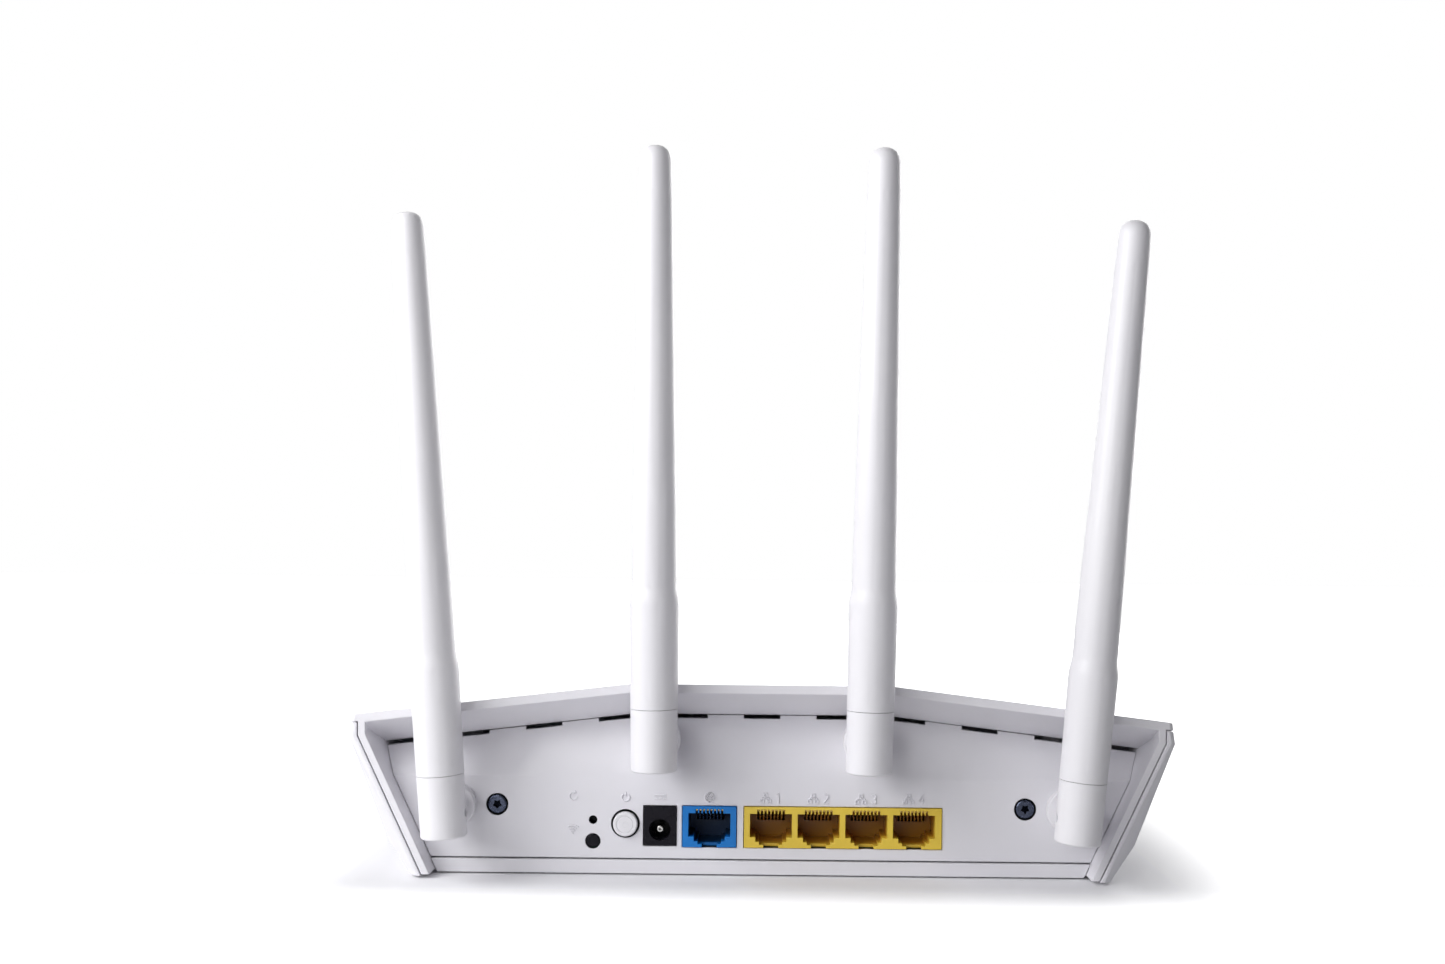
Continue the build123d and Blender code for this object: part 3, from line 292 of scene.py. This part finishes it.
# One material per slot. Colours are linear, each pair drifts from the first to the second, and each
# roughness is a range.
MATERIALS = {
    "case_white": moulded("case_plastic", WHITE, WHITE_SHADE, roughness=(0.36, 0.44)),
    # The panel's opening edges below the label row are painted near black: painted shade inside the openings,
    # not the plastic's own colour
    "panel_white": painted_shade_inside(
        moulded("panel_plastic", WHITE, WHITE_SHADE, roughness=(0.38, 0.46)),
        shade_colour=(0.012, 0.012, 0.014), face_depth=0.20 * MM, dark_depth=0.32 * MM, only_below=LABEL_ROW_Z,
    ),
    "antenna_white": moulded(
        "antenna_plastic", BRIGHT_WHITE, WHITE, roughness=(0.30, 0.38), depth=0.003 * MM
    ),
    # The button's sides behind its face are painted near black: painted shade in the gap round the button
    "button_white": painted_shade_inside(
        moulded("button_plastic", (0.82, 0.82, 0.84), WHITE, roughness=(0.34, 0.42)),
        shade_colour=(0.004, 0.004, 0.006), face_depth=-0.1 * MM, dark_depth=0.6 * MM,
    ),
    "black_plastic": moulded(
        "black_plastic", (0.006, 0.006, 0.008), (0.009, 0.008, 0.012), roughness=(0.22, 0.32),
        gloss_level=0.15,
    ),
    # The jacks darken with depth to deep navy and to orange brown: painted shade inside the ports, not the
    # plastic's own colour
    "jack_blue": painted_shade_inside(
        moulded("blue_plastic", (0.0, 0.16, 0.52), (0.0, 0.18, 0.58), roughness=(0.4, 0.5)),
        shade_colour=(0.0, 0.03, 0.10), face_depth=0.0, dark_depth=5.0 * MM,
    ),
    "jack_yellow": painted_shade_inside(
        moulded("yellow_plastic", (0.76, 0.53, 0.05), (0.80, 0.58, 0.07), roughness=(0.3, 0.4)),
        shade_colour=(0.48, 0.22, 0.012), face_depth=0.0, dark_depth=6.0 * MM,
    ),
    "contact_gold": brushed(
        "gold_plate", (0.90, 0.64, 0.25), (0.82, 0.55, 0.18), roughness=(0.2, 0.34), stretch=(1, 0.1, 1)
    ),
    "nickel": brushed(
        "nickel_plate", (0.78, 0.77, 0.74), (0.68, 0.67, 0.65), roughness=(0.12, 0.24), stretch=(1, 0.1, 1)
    ),
    # The screw heads darken with depth: painted shade in the star recesses and down the heads' rounded rims
    "screw_black": painted_shade_inside(
        finish(
            "black_oxide", (0.08, 0.095, 0.14), (0.11, 0.125, 0.18), roughness=(0.22, 0.32),
            patch=300.0, grain=2600.0, depth=0.004 * MM, metallic=1.0,
        ),
        shade_colour=(0.004, 0.005, 0.008), face_depth=0.2 * MM, dark_depth=0.6 * MM,
    ),
    "steel": brushed(
        "zinc_plate", (0.62, 0.62, 0.66), (0.5, 0.5, 0.53), roughness=(0.25, 0.4), stretch=(1, 0.15, 1)
    ),
    "rubber_grey": finish(
        "rubber", (0.12, 0.12, 0.125), (0.16, 0.16, 0.165), roughness=(0.7, 0.9),
        patch=90.0, grain=1500.0, depth=0.05 * MM,
    ),
    "label_paper": finish(
        "label_film", (0.72, 0.72, 0.73), (0.68, 0.68, 0.69), roughness=(0.4, 0.55),
        patch=40.0, grain=900.0, depth=0.01 * MM,
    ),
    "board_green": circuit_board(),
    "chip_black": finish(
        "chip_epoxy", (0.02, 0.02, 0.022), (0.032, 0.032, 0.034), roughness=(0.5, 0.7),
        patch=200.0, grain=2200.0, depth=0.02 * MM,
    ),
    "pad_grey": finish(
        "thermal_pad", (0.36, 0.38, 0.42), (0.42, 0.44, 0.48), roughness=(0.7, 0.85),
        patch=160.0, grain=1200.0, depth=0.04 * MM,
    ),
    "aluminium": brushed(
        "aluminium", (0.80, 0.80, 0.82), (0.7, 0.7, 0.72), roughness=(0.25, 0.4), stretch=(1, 0.05, 1)
    ),
    "tin": brushed(
        "tinned_can", (0.72, 0.71, 0.69), (0.62, 0.61, 0.6), roughness=(0.22, 0.38), stretch=(0.1, 1, 1)
    ),
    "guide_clear": light_pipe(),
    "cable_grey": finish(
        "coax_sheath", (0.10, 0.10, 0.11), (0.14, 0.14, 0.15), roughness=(0.5, 0.65),
        patch=120.0, grain=1600.0, depth=0.015 * MM,
    ),
}


def paint(piece, slot_name):
    """Give a piece the one material of its slot."""
    piece.data.materials.clear()
    piece.data.materials.append(MATERIALS[slot_name])
    for face in piece.data.polygons:
        face.material_index = 0


SLOT_OF = {part["node"]: part["material_slot"] for part in frame["record"]["subparts"]}
for node_name, node in nodes.items():
    paint(node, SLOT_OF[node_name])


# ---- Moulded pieces with rounded edges --------------------------------------------------------------
SHARP_ANGLE = radians(32.0)
FLAT_ANGLE = radians(0.6)
SHORTEST_EDGE = 0.25 * MM
SAME_VERTEX = 0.002 * MM


def link(name, mesh, slot_name, body):
    """A new piece from a mesh, with its material, riding on a body."""
    piece = bpy.data.objects.new(name, mesh)
    bpy.context.scene.collection.objects.link(piece)
    paint(piece, slot_name)
    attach(piece, body)
    return piece


def everywhere(face):
    """Every face of a piece may be rounded."""
    return True


def soften(node_name, width, where=everywhere):
    """Add a copy of a CAD node whose sharp edges are rounded over, which stands for the node.

    Only edges that touch a face picked by where are rounded.
    """
    node = nodes[node_name]
    form = bmesh.new()
    form.from_mesh(node.data)
    bmesh.ops.remove_doubles(form, verts=form.verts, dist=SAME_VERTEX)
    flat = [edge for edge in form.edges if all(where(face) for face in edge.link_faces)]
    bmesh.ops.dissolve_limit(form, angle_limit=FLAT_ANGLE, verts=form.verts, edges=flat)
    sharp = [
        edge
        for edge in form.edges
        if edge.is_manifold
        and any(where(face) for face in edge.link_faces)
        and edge.calc_face_angle() > SHARP_ANGLE
        and edge.calc_length() > SHORTEST_EDGE
    ]
    bmesh.ops.bevel(
        form, geom=sharp, offset=width, offset_type="OFFSET", segments=2, profile=0.5,
        affect="EDGES", clamp_overlap=False,
    )
    for face in form.faces:
        face.smooth = True
    for edge in form.edges:
        if edge.is_manifold and edge.calc_face_angle() > SHARP_ANGLE:
            edge.smooth = False
    mesh = bpy.data.meshes.new(node_name + "_moulded")
    form.to_mesh(mesh)
    form.free()
    piece = link(node_name + "_moulded", mesh, SLOT_OF[node_name], node["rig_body"])
    weighted = piece.modifiers.new("even_shading", "WEIGHTED_NORMAL")
    weighted.keep_sharp = True
    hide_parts(node_name)


def on_port_face(face):
    """The upright port face of the rear panel."""
    return face.normal.y > 0.999 and face.calc_center_median().y > PANEL_Y - 0.05 * MM


# How far each kind of moulded edge is rounded
SHELL_EDGE = 0.28 * MM
PANEL_EDGE = 0.22 * MM
JACK_EDGE = 0.10 * MM
ANTENNA_EDGE = 0.05 * MM
SCREW_EDGE = 0.12 * MM

soften("top_cover", SHELL_EDGE)
soften("bottom_case", SHELL_EDGE)
soften("rear_panel", PANEL_EDGE, where=on_port_face)
for jack in ("wan_jack", "lan_jack_block", "dc_jack"):
    soften(jack, JACK_EDGE)
soften("power_button", JACK_EDGE)
soften("rear_screws", SCREW_EDGE)
for number in range(1, 5):
    for part in ("housing", "sleeve", "swivel"):
        soften(f"antenna_{number}_{part}", ANTENNA_EDGE)


# ---- Raised marks -----------------------------------------------------------------------------------
# A mark is a list of strokes, and a stroke is a list of (across, up) points in mark heights from its middle.


def arc(across, up, radius, start, end, steps=14, squeeze=1.0):
    """Points along an arc, in degrees anticlockwise from the right; squeeze narrows it to an ellipse."""
    angles = [radians(start + (end - start) * i / steps) for i in range(steps + 1)]
    return [(across + squeeze * radius * cos(a), up + radius * sin(a)) for a in angles]


def power_mark():
    """An open ring with a bar in its gap."""
    return [arc(0, -0.06, 0.42, 125, 415), [(0, 0.08), (0, 0.52)]]


def reset_mark():
    """A circular arrow, with its head on the ring's first point."""
    ring = arc(0, 0, 0.42, 60, 350, 18)
    tip_x, tip_y = ring[0]
    head = [(tip_x - 0.02, tip_y + 0.26), (tip_x + 0.05, tip_y), (tip_x - 0.25, tip_y - 0.07)]
    return [ring, head]


def wireless_mark():
    """Three arcs that spread from a short base."""
    waves = [arc(0, -0.42, radius, 50, 130, 10) for radius in (0.36, 0.63, 0.90)]
    return waves + [[(-0.07, -0.42), (0.07, -0.42)]]


def direct_current_mark():
    """A long bar over three short ones."""
    dashes = [[(x - 0.13, -0.2), (x + 0.13, -0.2)] for x in (-0.5, 0.0, 0.5)]
    return [[(-0.63, 0.2), (0.63, 0.2)], *dashes]


def globe_mark():
    """A ring with two meridians, an equator and two parallels."""
    ring = arc(0, 0, 0.5, 0, 360, 24)
    meridian = arc(0, 0, 0.5, 0, 360, 24, 0.45)
    parallels = [[(-0.43, y), (0.43, y)] for y in (-0.25, 0.25)]
    return [ring, meridian, [(-0.5, 0), (0.5, 0)], *parallels]


def network_mark():
    """One box wired to two boxes below it."""
    strokes = []
    for x, y in ((0, 0.34), (-0.38, -0.34), (0.38, -0.34)):
        w, h = 0.19, 0.15
        strokes.append([(x - w, y - h), (x + w, y - h), (x + w, y + h), (x - w, y + h), (x - w, y - h)])
    strokes.append([(0, 0.19), (0, 0)])
    strokes.append([(-0.38, -0.19), (-0.38, 0), (0.38, 0), (0.38, -0.19)])
    return strokes


def digit_mark(number):
    """A port number from 1 to 4."""
    bowl = arc(0, 0.25, 0.25, 150, -40, 12)
    shapes = {
        1: [[(-0.16, 0.32), (0.04, 0.5), (0.04, -0.5)]],
        2: [bowl + [(-0.26, -0.5), (0.28, -0.5)]],
        3: [arc(0, 0.25, 0.25, 150, -90, 12) + arc(0, -0.25, 0.25, 90, -150, 12)[1:]],
        4: [[(0.12, -0.5), (0.12, 0.5), (-0.28, -0.18), (0.3, -0.18)]],
    }
    return shapes[number]


def corner_offsets(points, closed):
    """For each point, the sideways direction that keeps a stroke's width through its corner."""
    count = len(points)
    offsets = []
    for i in range(count):
        before = points[i - 1] if closed or i > 0 else None
        after = points[(i + 1) % count] if closed or i < count - 1 else None
        here = points[i]
        turns = []
        for start, end in ((before, here), (here, after)):
            if start is not None and end is not None:
                run = hypot(end[0] - start[0], end[1] - start[1])
                turns.append((-(end[1] - start[1]) / run, (end[0] - start[0]) / run))
        across = sum(t[0] for t in turns) / len(turns)
        up = sum(t[1] for t in turns) / len(turns)
        length = max(0.6, across * across + up * up)
        offsets.append((across / length, up / length))
    return offsets


def raise_strokes(form, strokes, centre, size, stroke, face_y, rise=MARK_RISE):
    """Add rounded raised lines to form, on a face that looks along +Y. centre is (X, Z)."""
    shoulder = 0.55 * rise
    section = [
        (-0.5, -MARK_SINK), (-0.46, shoulder), (-0.3, rise), (0.3, rise), (0.46, shoulder), (0.5, -MARK_SINK),
    ]
    for stroke_points in strokes:
        closed = len(stroke_points) > 2 and dist(stroke_points[0], stroke_points[-1]) < SAME_POINT
        points = stroke_points[:-1] if closed else stroke_points
        points = [(size * across, size * up) for across, up in points]
        rings = []
        for (across, up), (side_x, side_y) in zip(points, corner_offsets(points, closed)):
            ring = []
            for sideways, height in section:
                x = centre[0] - (across + side_x * sideways * stroke)
                z = centre[1] + up + side_y * sideways * stroke
                ring.append(form.verts.new((x, face_y + height, z)))
            rings.append(ring)
        pairs = list(zip(rings, rings[1:] + rings[:1])) if closed else list(zip(rings, rings[1:]))
        for near, far in pairs:
            for i in range(len(section)):
                form.faces.new((near[i - 1], near[i], far[i], far[i - 1]))
        if not closed:
            form.faces.new(rings[0])
            form.faces.new(rings[-1])


def raised_piece(name, marks, stroke, face_y, slot_name, body, rise=MARK_RISE):
    """Add one piece made of several marks, each given as (strokes, (X, Z), size)."""
    form = bmesh.new()
    for strokes, centre, size in marks:
        raise_strokes(form, strokes, centre, size, stroke, face_y, rise)
    bmesh.ops.recalc_face_normals(form, faces=form.faces)
    mesh = bpy.data.meshes.new(name)
    form.to_mesh(mesh)
    form.free()
    link(name, mesh, slot_name, body)


def middle_of(node_name):
    """(X, Z) of the middle of a CAD node."""
    low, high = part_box(node_name)
    return (low.x + high.x) / 2, (low.z + high.z) / 2


def add_marks():
    """Add the raised marks over the ports and beside the buttons, and the one on the power button."""
    power_x, power_z = middle_of("power_button")
    wps_x, wps_z = middle_of("wps_button")
    lan_low, lan_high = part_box("lan_jack_block")
    lan_middle = (lan_low.x + lan_high.x) / 2
    marks = {
        "mark_reset": [(reset_mark(), (wps_x + LABEL_FROM_WPS, LABEL_ROW_Z), MARK_HEIGHT)],
        "mark_wps": [(wireless_mark(), (wps_x + LABEL_FROM_WPS, wps_z + WPS_LABEL_RISE), MARK_HEIGHT)],
        "mark_power": [(power_mark(), (power_x, LABEL_ROW_Z), MARK_HEIGHT)],
        "mark_dc": [(direct_current_mark(), (middle_of("dc_jack")[0], LABEL_ROW_Z), MARK_HEIGHT)],
        "mark_wan": [(globe_mark(), (middle_of("wan_jack")[0], LABEL_ROW_Z), MARK_HEIGHT)],
    }
    for i in range(4):
        x = lan_middle + (1.5 - i) * PORT_PITCH
        marks[f"mark_lan_{i + 1}"] = [
            (network_mark(), (x + NETWORK_FROM_PORT, LABEL_ROW_Z), MARK_HEIGHT),
            (digit_mark(i + 1), (x + DIGIT_FROM_PORT, LABEL_ROW_Z), MARK_HEIGHT),
        ]
    for name, placed in marks.items():
        raised_piece(name, placed, STROKE, PANEL_Y, "panel_white", "root")
    cap_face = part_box("power_button")[1].y
    cap_mark = [(power_mark(), (power_x, power_z), CAP_MARK_HEIGHT)]
    raised_piece(
        "power_button_mark", cap_mark, CAP_STROKE, cap_face, "button_white", "power_button", CAP_MARK_RISE
    )


add_marks()


# ---- Camera, light and floor ------------------------------------------------------------------------


def add_camera():
    """Add the level view from behind the router."""
    lens = bpy.data.cameras.new("camera")
    lens.lens = FOCAL_LENGTH
    lens.sensor_width = SENSOR_WIDTH
    lens.shift_x = SHIFT_RIGHT
    lens.shift_y = SHIFT_UP
    lens.clip_start = CLIP_START
    lens.clip_end = CLIP_END
    camera = bpy.data.objects.new("camera", lens)
    camera.location = (0.0, RIM_Y + CAMERA_DISTANCE, EYE_HEIGHT)
    camera.rotation_euler = (radians(90.0), radians(CAMERA_ROLL), radians(180.0))
    bpy.context.scene.collection.objects.link(camera)
    bpy.context.scene.camera = camera


def add_softbox(name, place, target, size, power):
    """Add a rectangular light at place, pointing at target."""
    light = bpy.data.lights.new(name, "AREA")
    light.shape = "RECTANGLE"
    light.size, light.size_y = size
    light.energy = power
    box = bpy.data.objects.new(name, light)
    box.location = place
    direction = Vector(target) - Vector(place)
    box.rotation_euler = direction.to_track_quat("-Z", "Y").to_euler()
    box.visible_camera = False
    bpy.context.scene.collection.objects.link(box)


def studio_light(tree):
    """Brightness of the studio by direction: a white backdrop behind the object, a dim room before it."""
    place = tree.nodes.new("ShaderNodeTexCoord")
    parts = tree.nodes.new("ShaderNodeSeparateXYZ")
    tree.links.new(place.outputs["Generated"], parts.inputs["Vector"])
    fall = tree.nodes.new("ShaderNodeMapRange")
    fall.interpolation_type = "SMOOTHSTEP"
    fall.inputs["From Min"].default_value = BACKDROP_END
    fall.inputs["From Max"].default_value = ROOM_START
    fall.inputs["To Min"].default_value = 1.0
    fall.inputs["To Max"].default_value = DIM_ROOM
    tree.links.new(parts.outputs["Y"], fall.inputs["Value"])
    return fall.outputs["Result"]


def add_world(brightness):
    """Add even ambient light, a white surround for the camera and the studio in the gloss."""
    world = bpy.data.worlds.new("studio")
    world.use_nodes = True
    tree = world.node_tree
    ambient = tree.nodes["Background"]
    ambient.inputs["Color"].default_value = AMBIENT_COLOUR
    ambient.inputs["Strength"].default_value = brightness
    mirrored = tree.nodes.new("ShaderNodeBackground")
    tree.links.new(studio_light(tree), mirrored.inputs["Strength"])
    surround = tree.nodes.new("ShaderNodeBackground")
    ray = tree.nodes.new("ShaderNodeLightPath")
    below = ambient.outputs["Background"]
    for kind, shader in (("Is Glossy Ray", mirrored), ("Is Camera Ray", surround)):
        shader.inputs["Color"].default_value = (1.0, 1.0, 1.0, 1.0)
        choice = tree.nodes.new("ShaderNodeMixShader")
        tree.links.new(ray.outputs[kind], choice.inputs["Fac"])
        tree.links.new(below, choice.inputs[1])
        tree.links.new(shader.outputs["Background"], choice.inputs[2])
        below = choice.outputs["Shader"]
    tree.links.new(below, tree.nodes["World Output"].inputs["Surface"])
    bpy.context.scene.world = world


def seamless_floor():
    """Pale paint that glows white away from the object, so that the floor has no visible edge."""
    material = finish(
        "floor_paint", (0.86, 0.86, 0.88), (0.88, 0.88, 0.90), roughness=(0.6, 0.75),
        patch=3.0, grain=400.0, depth=0.01 * MM,
    )
    tree = material.node_tree
    shader = tree.nodes["Principled BSDF"]
    place = tree.nodes.new("ShaderNodeTexCoord")
    outside = place.outputs["Object"]
    for operation, value in (("ABSOLUTE", None), ("SUBTRACT", SHADED_HALF), ("MAXIMUM", (0.0, 0.0, 0.0))):
        step = tree.nodes.new("ShaderNodeVectorMath")
        step.operation = operation
        if value is not None:
            step.inputs[1].default_value = value
        tree.links.new(outside, step.inputs[0])
        outside = step.outputs["Vector"]
    distance = tree.nodes.new("ShaderNodeVectorMath")
    distance.operation = "LENGTH"
    tree.links.new(outside, distance.inputs[0])
    glow = tree.nodes.new("ShaderNodeMapRange")
    glow.interpolation_type = "SMOOTHSTEP"
    glow.inputs["From Max"].default_value = GLOW_FULL
    tree.links.new(distance.outputs["Value"], glow.inputs["Value"])
    ray = tree.nodes.new("ShaderNodeLightPath")
    strength = tree.nodes.new("ShaderNodeMath")
    strength.operation = "MULTIPLY"
    tree.links.new(glow.outputs["Result"], strength.inputs[0])
    tree.links.new(ray.outputs["Is Camera Ray"], strength.inputs[1])
    shader.inputs["Emission Color"].default_value = (1.0, 1.0, 1.0, 1.0)
    tree.links.new(strength.outputs["Value"], shader.inputs["Emission Strength"])
    return material


def add_floor():
    """Add a wide plain pale floor."""
    form = bmesh.new()
    corners = ((-1, -1), (1, -1), (1, 1), (-1, 1))
    form.faces.new([form.verts.new((x * FLOOR_HALF, y * FLOOR_HALF, 0.0)) for x, y in corners])
    mesh = bpy.data.meshes.new("floor")
    form.to_mesh(mesh)
    form.free()
    floor = bpy.data.objects.new("floor", mesh)
    bpy.context.scene.collection.objects.link(floor)
    floor.data.materials.append(seamless_floor())


def place_around(azimuth, elevation, distance):
    """A point around the rear rim: azimuth is from +Y towards +X, and both angles are in degrees."""
    flat = distance * cos(radians(elevation))
    height = distance * sin(radians(elevation))
    return AIM + Vector((flat * sin(radians(azimuth)), flat * cos(radians(azimuth)), height))


add_camera()
add_world(AMBIENT)
# Each light's name, place, target, size in metres and power in watts
LIGHTS = (
    ("front_light", place_around(38.0, 24.0, 0.9), AIM, (0.9, 0.6), 4.9),
    ("key_light", place_around(60.0, 30.0, 0.5), AIM, (0.25, 0.25), 1.0),
    ("side_light", place_around(85.0, 25.0, 0.5), AIM, (0.25, 0.25), 0.6),
    ("back_light", (-0.55, -0.95, 0.35), (0.0, 0.0, 0.08), (1.2, 0.9), 9.0),
)
for light in LIGHTS:
    add_softbox(*light)
add_floor()
bpy.context.scene.view_settings.view_transform = "Standard"
